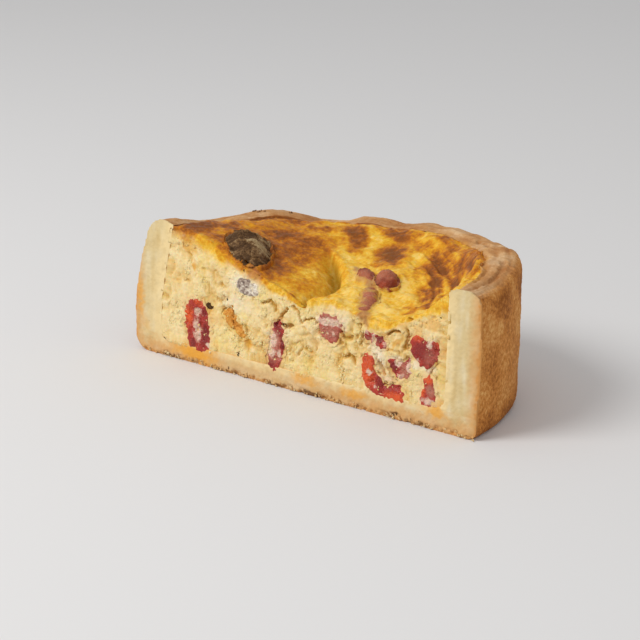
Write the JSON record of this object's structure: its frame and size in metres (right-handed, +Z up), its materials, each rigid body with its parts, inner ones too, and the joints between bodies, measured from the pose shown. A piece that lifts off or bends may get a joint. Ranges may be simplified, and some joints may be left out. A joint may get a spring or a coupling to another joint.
{
  "type": "quiche",
  "caption": "Half of a deep round quiche, cut through the middle: thick shortcrust case, browned custard that sinks in the middle, roasted tomato and mushroom in the cut.",
  "frame": {"origin": "centre of the bounding box's bottom face, on the surface that the quiche rests on", "axes": "+X along the cut, +Y from the cut face towards the round back, +Z up"},
  "size_m": [0.154, 0.077, 0.0527],
  "materials": {
    "pastry": "baked shortcrust, golden brown and finely grained outside, pale cream where it is cut",
    "custard": "set egg custard, pale cream crumb where it is cut, yellow skin with brown patches on top",
    "tomato": "roasted tomato, moist, with flecks of custard",
    "mushroom": "roasted mushroom, dark and wrinkled",
    "onion": "browned onion, moist"
  },
  "bodies": {
    "root": {"pastry_case": "pastry", "custard": "custard", "tomato_wedge": "tomato", "tomato_sliver": "tomato", "tomato_seeded": "tomato", "tomato_crescent": "tomato", "tomato_core": "tomato", "tomato_shred": "tomato", "tomato_heart": "tomato", "tomato_tip": "tomato", "tomato_curl": "tomato", "tomato_lobe": "tomato", "tomato_ribbon": "tomato", "mushroom_slice": "mushroom", "mushroom_cap": "mushroom", "onion": "onion"}
  },
  "joints": []
}
